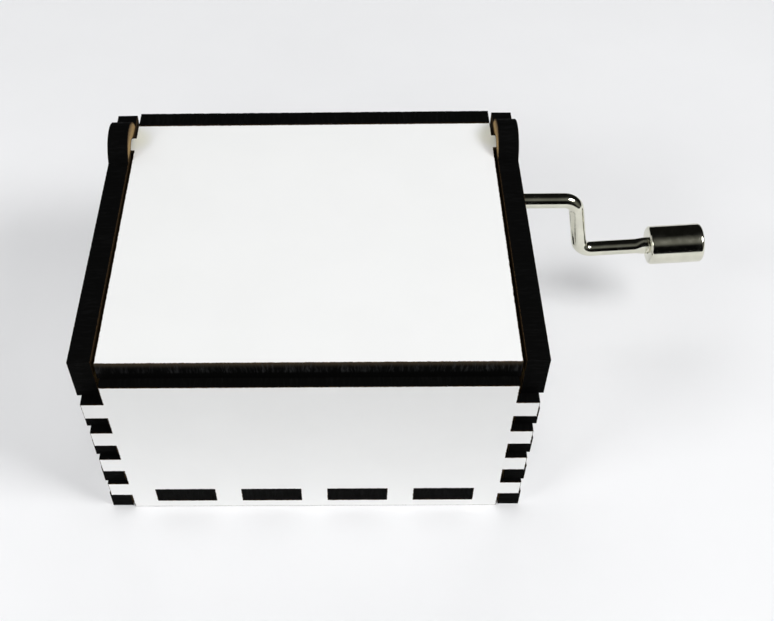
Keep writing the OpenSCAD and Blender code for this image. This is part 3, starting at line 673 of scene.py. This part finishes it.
def board_outlines(node, outward):
    """Closed outlines of a board's outward side, with its plane and its thickness.

    Each outline runs with the board on its left, seen from outside.
    """
    work = bmesh.new()
    work.from_mesh(NODES[node].data)
    bmesh.ops.remove_doubles(work, verts=work.verts, dist=1e-7)
    normal = largest_side(NODES[node].data, Vector(outward))
    heights = [v.co.dot(normal) for v in work.verts]
    top, bottom = max(heights), min(heights)
    side = [f for f in work.faces
            if f.normal.dot(normal) > 0.999 and f.verts[0].co.dot(normal) > top - 1e-5]
    flat_faces = set(side)
    following = {}
    for face in side:
        for loop in face.loops:
            if not any(f in flat_faces for f in loop.edge.link_faces if f is not face):
                following[loop.vert] = loop.link_loop_next.vert
    across = Vector((1, 0, 0)) if abs(normal.x) < 0.5 else Vector((0, 1, 0))
    across = (across - normal * across.dot(normal)).normalized()
    plane = Matrix((across, normal.cross(across), normal)).transposed()
    outlines = []
    while following:
        start, point = next(iter(following.items()))
        ring = [start]
        del following[start]
        while point is not start:
            ring.append(point)
            point = following.pop(point)
        flat = [Vector((v.co.dot(plane.col[0]), v.co.dot(plane.col[1]))) for v in ring]
        outlines.append(without_straight_points(flat))
    work.free()
    return outlines, plane, bottom, top


def without_straight_points(ring):
    """The ring without the points that lie on a straight stretch."""
    kept = []
    for index, point in enumerate(ring):
        before, after = ring[index - 1], ring[(index + 1) % len(ring)]
        one, two = (point - before).normalized(), (after - point).normalized()
        if abs(one.x * two.y - one.y * two.x) > 1e-3 or one.dot(two) < 0:
            kept.append(point)
    return kept


def rippled(ring, pitch, depth, seed):
    """Points along a ring at the ripples' pitch: place, inward direction, ripple, run."""
    draw = random.Random(seed)
    points, normals, run = [], [], 0.0
    count = len(ring)
    for index, point in enumerate(ring):
        after = ring[(index + 1) % count]
        along = (after - point).normalized()
        normals.append(Vector((-along.y, along.x)))
    for index, point in enumerate(ring):
        after = ring[(index + 1) % count]
        corner = normals[index - 1] + normals[index]
        corner /= 1 + normals[index - 1].dot(normals[index])
        length = (after - point).length
        steps = max(1, round(length / pitch))
        for step in range(steps):
            share = step / steps
            inward = normals[index] if step else corner
            dip = depth * draw.uniform(0.0, 1.0) ** 1.5 if step else 0
            points.append((point.lerp(after, share), inward, dip, run + share * length))
        run += length
    return points, run


def edge_columns(mesh, points, levels, plane):
    """Columns of new vertices over a cut edge, one for each point along its outline.

    A level is the distance in from the outline, the height, whether the ripple dips it
    and its share of scorch.
    """
    scorch = mesh.verts.layers.float["scorch"]
    columns = []
    for place, inward, dip, _ in points:
        column = []
        for into, height, dips, burnt in levels:
            flat = place + inward * into
            if dips:
                flat = flat + inward.normalized() * dip
            vert = mesh.verts.new(plane @ Vector((flat.x, flat.y, height)))
            vert[scorch] = burnt
            column.append(vert)
        columns.append(column)
    return columns


def sew_columns(mesh, columns, runs, levels, strips):
    """Faces between the columns, with the finish of each strip and the edge's UV map.

    runs holds the way along the outline to each column, and to the first one again.
    """
    uv = mesh.loops.layers.uv["cut"]
    bottom = levels[0][1]
    for index, column in enumerate(columns):
        after = columns[(index + 1) % len(columns)]
        u_values = (runs[index], runs[index + 1], runs[index + 1], runs[index])
        for level, slot_number in enumerate(strips):
            face = mesh.faces.new((column[level], after[level],
                                   after[level + 1], column[level + 1]))
            face.material_index = slot_number
            low, high = levels[level][1], levels[level + 1][1]
            for loop, u, v in zip(face.loops, u_values, (low, low, high, high)):
                loop[uv].uv = (u / MM, (v - bottom) / MM)


def cut_board(name, outward, body, finishes):
    """Make a board from its node's outline, with a rippled, burnt edge.

    finishes names those of the outward side, the inward side and the edge.
    """
    boards = settings("boards")
    outlines, plane, bottom, top = board_outlines(name, outward)
    mesh = bmesh.new()
    mesh.loops.layers.uv.new("cut")
    mesh.verts.layers.float.new("scorch")
    soften, width = boards.soften, boards.scorch_width
    stain = width if finishes[1] == "white_lacquer" else boards.stain_width
    # From the inward side's flat, over the edge, to the outward side's flat
    levels = [(stain, bottom, False, 0.0), (soften, bottom, True, 1.0),
              (0, bottom + soften, True, 1.0), (0, top - soften, True, 1.0),
              (soften, top, True, 1.0), (width, top, False, 0.0)]
    # Each strip's material: 0 outward side, 1 inward side, 2 edge, 3 scorched corner
    strips = [1, 3, 2, 3, 0]
    inner_edges, outer_edges = [], []
    for number, ring in enumerate(outlines):
        points, total = rippled(ring, boards.ripple_pitch, boards.ripple_depth,
                                name + str(number))
        columns = edge_columns(mesh, points, levels, plane)
        runs = [run for _, _, _, run in points] + [total]
        sew_columns(mesh, columns, runs, levels, strips)
        for column, after in zip(columns, columns[1:] + columns[:1]):
            inner_edges.append(mesh.edges.get((column[0], after[0])))
            outer_edges.append(mesh.edges.get((column[-1], after[-1])))
    for edges, slot_number in ((inner_edges, 1), (outer_edges, 0)):
        made = bmesh.ops.triangle_fill(mesh, use_beauty=True, use_dissolve=False,
                                       edges=edges, normal=plane.col[2])
        for face in (g for g in made["geom"] if isinstance(g, bmesh.types.BMFace)):
            face.material_index = slot_number
    board = object_from(mesh, name + "_board", (*finishes, "scorched_corner"), 32)
    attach(board, body)
    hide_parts(name)


@joins
class CutCaseBoards(bpy.types.Operator):
    """Cut the case's five boards, with burnt and rippled edges"""

    bl_idname = "music_box.cut_case_boards"
    bl_label = "Cut the Case's Boards"

    def execute(self, context):
        lacquered = ("white_lacquer", "raw_fibreboard")
        for name, outward, slot, edge in (
                ("left_panel", (-1, 0, 0), "side_board", "charred_edge"),
                ("right_panel", (1, 0, 0), "side_board", "charred_edge"),
                ("front_panel", (0, -1, 0), "white_board", "charred_edge"),
                ("back_panel", (0, 1, 0), "white_board", "charred_edge")):
            cut_board(name, outward, "case", (*lacquered, edge))
        cut_board("bottom_panel", (0, 0, -1), "case",
                  ("raw_fibreboard", "raw_fibreboard", "charred_edge"))
        return {"FINISHED"}


@joins
class CutLid(bpy.types.Operator):
    """Cut the lid with its two hinge pegs"""

    bl_idname = "music_box.cut_lid"
    bl_label = "Cut the Lid"

    def execute(self, context):
        cut_board("lid", (0, 0, 1), "lid",
                  ("white_lacquer", "raw_fibreboard", "burnt_edge"))
        return {"FINISHED"}


# ------------------------------------------------------------------- crank


def swept_wire(mesh, path, wide_way, sides=48):
    """Wire along a path of (point, direction, half width, half thickness).

    wide_way is the direction in which the wire is pressed wide.
    """
    rings = []
    for point, along, wide, thin in path:
        side = (wide_way - along * wide_way.dot(along)).normalized()
        other = along.cross(side)
        rings.append([mesh.verts.new(point + wide * math.cos(turn) * side
                                     + thin * math.sin(turn) * other)
                      for turn in (2 * math.pi * k / sides for k in range(sides))])
    for one, two in zip(rings, rings[1:]):
        for k in range(sides):
            after = (k + 1) % sides
            mesh.faces.new((one[k], one[after], two[after], two[k]))
    for ring in (rings[0], rings[-1]):
        mesh.faces.new(ring)


def bend_path(corner, before, after, radius, steps=14):
    """Points and directions of a round bend between two straights."""
    turn = before.angle(after)
    axis = before.cross(after).normalized()
    start = corner - before * radius * math.tan(turn / 2)
    middle = start + axis.cross(before) * radius
    for step in range(steps + 1):
        rotation = Matrix.Rotation(turn * step / steps, 3, axis)
        yield middle + rotation @ (start - middle), rotation @ before


def finished_piece(name, mesh, body, replaced, finish_name):
    """Turn a bmesh into a piece that rides on a body and replaces CAD nodes."""
    piece = object_from(mesh, name, [finish_name], 35)
    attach(piece, body)
    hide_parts(*replaced)


@joins
class BendCrank(bpy.types.Operator):
    """Bend the crank's wire, press it flat beside the knob and rivet its end"""

    bl_idname = "music_box.bend_crank"
    bl_label = "Bend the Crank"

    def execute(self, context):
        crank = settings("crank")
        radius = crank.wire_diameter / 2
        rod, handle = Vector((1, 0, 0)), Vector(JOINTS["knob_spin"]["axis"]).normalized()
        places = [v.co for v in NODES["crank_wire"].data.vertices]
        knob = [v.co.dot(handle) for v in NODES["knob"].data.vertices]
        clip = [v.co.x for v in NODES["crank_clip"].data.vertices]
        height = Vector(JOINTS["crank_spin"]["pos_m"])
        upper = Vector((crank.reach, height.y, height.z))
        knob_middle = Vector(JOINTS["knob_spin"]["pos_m"])
        lower = knob_middle + handle * (
            max(knob) - knob_middle.dot(handle) - crank.handle_length)
        arm = (lower - upper).normalized()

        def at(x, size):
            return Vector((x, upper.y, upper.z)), rod, size, size

        start = min(v.x for v in places)
        tip = 0.3 * MM
        groove = radius - 0.22 * MM
        lip, shoulder = 0.01 * MM, 0.2 * MM
        path = [at(start, 0.6 * radius), at(start + 0.4 * tip, 0.9 * radius),
                at(start + tip, radius), at(min(clip) - 2 * lip, radius),
                at(min(clip) - lip, groove), at(max(clip) + lip, groove),
                at(max(clip) + 2 * lip, radius), at(max(clip) + shoulder, radius)]
        for corner, before, after in ((upper, rod, arm), (lower, arm, handle)):
            path += [(point, along, radius, radius) for point, along
                     in bend_path(corner, before, after, crank.bend_radius)]

        def on_handle(along, wide, thin):
            return lower + handle * along, handle, wide, thin

        face = min(knob) - lower.dot(handle) - 0.1 * MM
        flat = face - crank.flat_length
        wide = crank.flat_width / 2
        steps, full = 12, 9
        for step in range(steps + 1):
            share = min(1.0, step / full)
            share = share * share * (3 - 2 * share)
            half = radius + (wide - radius) * share
            path.append(on_handle(flat + crank.flat_length * step / steps, half,
                                  radius * radius / half))
        end = max(v.dot(handle) for v in places) - lower.dot(handle)
        head = 0.55 * MM
        head_radius = radius + 0.42 * MM
        path += [on_handle(face + 0.3 * MM, radius, radius),
                 on_handle(end - head - 0.05 * MM, radius, radius),
                 on_handle(end - head, head_radius - 0.06 * MM, head_radius - 0.06 * MM),
                 on_handle(end - 0.6 * head, head_radius, head_radius)]
        for turn in (math.radians(degrees) for degrees in (25, 50, 70, 84)):
            size = head_radius * math.cos(turn)
            path.append(on_handle(end - 0.6 * head * (1 - math.sin(turn)), size, size))
        mesh = bmesh.new()
        swept_wire(mesh, path, arm - handle * arm.dot(handle)
                   + 0.001 * Vector((0, 0, 1)))
        finished_piece("bent_crank", mesh, "crank", ["crank_wire"],
                       "bright_nickel")
        return {"FINISHED"}


@joins
class TurnKnob(bpy.types.Operator):
    """Turn the knob on the crank's handle"""

    bl_idname = "music_box.turn_knob"
    bl_label = "Turn the Knob"

    def execute(self, context):
        joint = JOINTS["knob_spin"]
        axis = Vector(joint["axis"]).normalized()
        middle = Vector(joint["pos_m"])
        verts = [v.co - middle for v in NODES["knob"].data.vertices]
        along = [v.dot(axis) for v in verts]
        widths = [(v - axis * v.dot(axis)).length for v in verts]
        start, length = min(along), max(along) - min(along)
        bore, radius = min(widths), max(widths)
        edge, recess = 0.55 * MM, 0.8 * MM
        recess_r = settings("crank").wire_diameter / 2 + 0.75 * MM
        bevel, ease = 0.08 * MM, 0.06 * MM
        arc = [(math.sin(math.radians(a)), math.cos(math.radians(a)))
               for a in range(0, 91, 15)]
        outline = [(bore, recess * 0.25), (bore + 1.5 * bevel, 0)]
        outline += [(radius - edge + edge * s, edge - edge * c) for s, c in arc]
        outline += [(radius, edge + ease), (radius, length - edge - ease)]
        outline += [(radius - edge + edge * c, length - edge + edge * s) for s, c in arc]
        outline += [(recess_r + bevel, length), (recess_r, length - bevel),
                    (recess_r, length - recess), (bore, length - recess)]
        side = axis.orthogonal().normalized()
        other = axis.cross(side)
        count = 96
        mesh = bmesh.new()
        rings = []
        for r, z in outline:
            rings.append([mesh.verts.new(middle + axis * (start + z) + r * (
                math.cos(2 * math.pi * k / count) * side
                + math.sin(2 * math.pi * k / count) * other)) for k in range(count)])
        for one, two in zip(rings, rings[1:] + rings[:1]):
            for k in range(count):
                after = (k + 1) % count
                mesh.faces.new((one[k], one[after], two[after], two[k]))
        finished_piece("turned_knob", mesh, "knob", ["knob"],
                       "bright_nickel")
        return {"FINISHED"}


# ---------------------------------------------------------------- movement


def refinish(names, finish_name):
    """Give CAD nodes a finish by assigning to their material slots."""
    for name in names:
        for slot in NODES[name].material_slots:
            slot.material = finish(finish_name)


@joins
class FinishMovement(bpy.types.Operator):
    """Finish the bedplate, the brackets, the screws, the gears and the crank's clip"""

    bl_idname = "music_box.finish_movement"
    bl_label = "Finish the Movement"

    def execute(self, context):
        refinish(["bedplate"], "cast_zinc")
        refinish(["front_bracket", "gear_bracket", "crank_clip"], "plated_steel")
        refinish(["bracket_screws", "mounting_screws", "mounting_washers", "comb_screws",
                  "arbor_washers", "drum_arbor"], "screw_steel")
        refinish(["worm_wheel", "worm"], "turned_brass")
        return {"FINISHED"}


@joins
class FinishComb(bpy.types.Operator):
    """Finish the comb, its weights and its dampers"""

    bl_idname = "music_box.finish_comb"
    bl_label = "Finish the Comb"

    def execute(self, context):
        refinish(["comb", "comb_dampers"], "ground_steel")
        refinish(["comb_weights"], "dull_lead")
        return {"FINISHED"}


@joins
class FinishDrum(bpy.types.Operator):
    """Finish the drum's tube, caps, resin and pins"""

    bl_idname = "music_box.finish_drum"
    bl_label = "Finish the Drum"

    def execute(self, context):
        refinish(["drum_shell", "drum_cap_front", "drum_cap_rear"], "turned_brass")
        refinish(["drum_pins"], "ground_steel")
        refinish(["drum_resin"], "cast_resin")
        return {"FINISHED"}


# ------------------------------------------------------------------- stage


def flat_sheet(name, corners, height):
    """Flat rectangle of the stage, from (left, front, right, back) at a height."""
    left, front, right, back = corners
    data = bpy.data.meshes.new(name)
    data.from_pydata([(left, front, height), (right, front, height),
                      (right, back, height), (left, back, height)], [], [(0, 1, 2, 3)])
    sheet = bpy.data.objects.new(name, data)
    bpy.context.scene.collection.objects.link(sheet)
    return sheet


def background(tree, color, strength):
    """Background node of a colour and a strength; returns its output socket."""
    node = tree.nodes.new("ShaderNodeBackground")
    node.inputs["Color"].default_value = (*color, 1)
    feed(tree, node.inputs["Strength"], strength)
    return node.outputs[0]


def add_area_light(name, place, size, power):
    """Square soft light at a place, aimed at the box."""
    light = bpy.data.lights.new(name, "AREA")
    light.size = size
    light.energy = power
    lamp = bpy.data.objects.new(name, light)
    lamp.location = place
    lamp.rotation_euler = (-place).to_track_quat("-Z", "Y").to_euler()
    bpy.context.scene.collection.objects.link(lamp)
    return lamp


@joins
class SetStage(bpy.types.Operator):
    """Lay the floor and set the lights and the camera"""

    bl_idname = "music_box.set_stage"
    bl_label = "Set the Stage"

    def execute(self, context):
        stage = settings("stage")
        self.lay_floor(stage)
        self.lay_card(stage)
        self.light_room(context, stage)
        self.place_camera(context, stage)
        return {"FINISHED"}

    def lay_floor(self, stage):
        """A square of pale paper that fades into the backdrop away from the box."""
        half = stage.floor_size / 2
        fade_start, fade_end = 0.24, 0.5
        floor = flat_sheet("floor", (-half, -half, half, half), 0)
        material, tree, shader = new_material("pale_paper", 0.75, specular=0.2)
        place = object_place(tree)
        tooth = noise_node(tree, place, 60.0, 3)
        base = blend_colors(tree, spread(tree, tooth, 0.3, 0.7),
                            shaded(stage.floor_color, 0.99), tuple(stage.floor_color))
        tree.links.new(base, shader.inputs["Base Color"])
        away = tree.nodes.new("ShaderNodeVectorMath")
        away.operation = "LENGTH"
        tree.links.new(place, away.inputs[0])
        clear = tree.nodes.new("ShaderNodeBsdfTransparent")
        faded = mix_shaders(tree, spread(tree, away.outputs["Value"], fade_start, fade_end),
                            shader.outputs[0], clear.outputs[0])
        tree.links.new(faded, tree.nodes["Material Output"].inputs["Surface"])
        floor.data.materials.append(material)

    def lay_card(self, stage):
        """A black card in front of the box, out of the camera's sight.

        It darkens the top of the front panel and what the nickel mirrors, and lets the
        light through from below.
        """
        half_width, front, above_floor = 0.6, -0.8, 0.3 * MM
        card = flat_sheet("card", (-half_width, front, half_width, -stage.card_distance),
                          above_floor)
        card.visible_camera = False
        card.visible_shadow = False
        material, tree, shader = new_material("black_card", 0.9, specular=0.0)
        shader.inputs["Base Color"].default_value = (0.01, 0.01, 0.01, 1)
        side = tree.nodes.new("ShaderNodeNewGeometry")
        clear = tree.nodes.new("ShaderNodeBsdfTransparent")
        one_sided = mix_shaders(tree, side.outputs["Backfacing"], shader.outputs[0],
                                clear.outputs[0])
        tree.links.new(one_sided, tree.nodes["Material Output"].inputs["Surface"])
        card.data.materials.append(material)

    def light_room(self, context, stage):
        """An evenly lit room with soft lights and a pale backdrop.

        Bright metal mirrors it as a dim room with a pale strip over the camera.
        """
        world = bpy.data.worlds.new("room")
        world.use_nodes = True
        tree = world.node_tree
        tree.nodes.remove(tree.nodes["Background"])
        backdrop_strength = 0.9
        strip_bright, strip_dim, room_dim = 0.145, 0.004, 0.002
        direction = tree.nodes.new("ShaderNodeTexCoord").outputs["Generated"]
        forward = axes(tree, direction)["Y"]
        strip = math_node(tree, "MULTIPLY", spread(tree, forward, -0.86, -0.62),
                          spread(tree, forward, -0.6, 0.14, strip_bright, strip_dim))
        strip = math_node(tree, "ADD", strip, room_dim)
        soft = background(tree, (0.95, 0.975, 1.0), stage.sky_strength)
        dim = background(tree, (1.0, 1.0, 0.9), strip)
        backdrop = background(tree, stage.floor_color, backdrop_strength)
        ray = tree.nodes.new("ShaderNodeLightPath").outputs
        room = mix_shaders(tree, ray["Is Glossy Ray"], soft, dim)
        seen = mix_shaders(tree, ray["Is Camera Ray"], room, backdrop)
        tree.links.new(seen, tree.nodes["World Output"].inputs["Surface"])
        context.scene.world = world
        context.scene.view_settings.view_transform = "Standard"
        distance = 0.5
        for name, turn, rise, size, power, mirrored in (
                ("right_light", 66, 46, 0.18, stage.right_power, True),
                ("left_light", -55, 34, 0.18, stage.left_power, True),
                ("back_light", 180, 40, 0.4, stage.back_power, False),
                ("front_light", 0, 30, 0.4, stage.front_power, False),
                ("rear_light", -120, 30, 0.3, stage.rear_power, False)):
            turn, rise = math.radians(turn), math.radians(rise)
            place = distance * Vector((math.cos(rise) * math.sin(turn),
                                       -math.cos(rise) * math.cos(turn), math.sin(rise)))
            add_area_light(name, place, size, power).visible_glossy = mirrored

    def place_camera(self, context, stage):
        """Camera from its pitch, roll and yaw."""
        down = Vector((0, -math.sin(stage.pitch), -math.cos(stage.pitch)))
        forward = Vector((0, math.cos(stage.pitch), -math.sin(stage.pitch)))
        base = Matrix(((1, 0, 0), down, forward))
        turn = Matrix.Rotation(stage.roll, 3, "Z") @ base @ Matrix.Rotation(stage.yaw, 3, "Z")
        data = bpy.data.cameras.new("camera")
        data.lens = stage.lens
        data.sensor_width = 36.0
        data.sensor_fit = "HORIZONTAL"
        data.shift_x = stage.shift
        data.clip_start = 0.01
        camera = bpy.data.objects.new("camera", data)
        turned = Matrix((turn[0], -turn[1], -turn[2])).transposed()
        camera.matrix_world = Matrix.Translation(stage.place) @ turned.to_4x4()
        context.scene.collection.objects.link(camera)
        context.scene.camera = camera


# ------------------------------------------------------------------- panel


@joins
class MusicBoxPanel(bpy.types.Panel):
    """Settings and steps of the music box"""

    bl_idname = "VIEW3D_PT_music_box"
    bl_label = "Music Box"
    bl_space_type = "VIEW_3D"
    bl_region_type = "UI"
    bl_category = "Music Box"

    def draw(self, context):
        for name in SETTING_GROUPS:
            box = self.layout.box()
            box.label(text=name.title())
            group = settings(name)
            for prop in group.__annotations__:
                box.prop(group, prop)
        for step in STEPS:
            self.layout.operator(step)


SETTING_GROUPS = {"boards": BoardSettings, "crank": CrankSettings,
                  "movement": MovementSettings, "stage": StageSettings}
STEPS = ("music_box.set_stage", "music_box.cut_case_boards", "music_box.cut_lid",
         "music_box.bend_crank", "music_box.turn_knob", "music_box.finish_movement",
         "music_box.finish_comb", "music_box.finish_drum")


def register():
    """Register the classes and hang the settings on the scene."""
    for cls in CLASSES:
        bpy.utils.register_class(cls)
    for name, group in SETTING_GROUPS.items():
        setattr(bpy.types.Scene, "music_box_" + name, PointerProperty(type=group))


def unregister():
    """Take the settings and the classes away again."""
    for name in SETTING_GROUPS:
        delattr(bpy.types.Scene, "music_box_" + name)
    for cls in reversed(CLASSES):
        bpy.utils.unregister_class(cls)


def main():
    """Build every piece in order."""
    register()
    for step in STEPS:
        group, name = step.split(".")
        getattr(getattr(bpy.ops, group), name)()


if __name__ == "__main__":
    main()
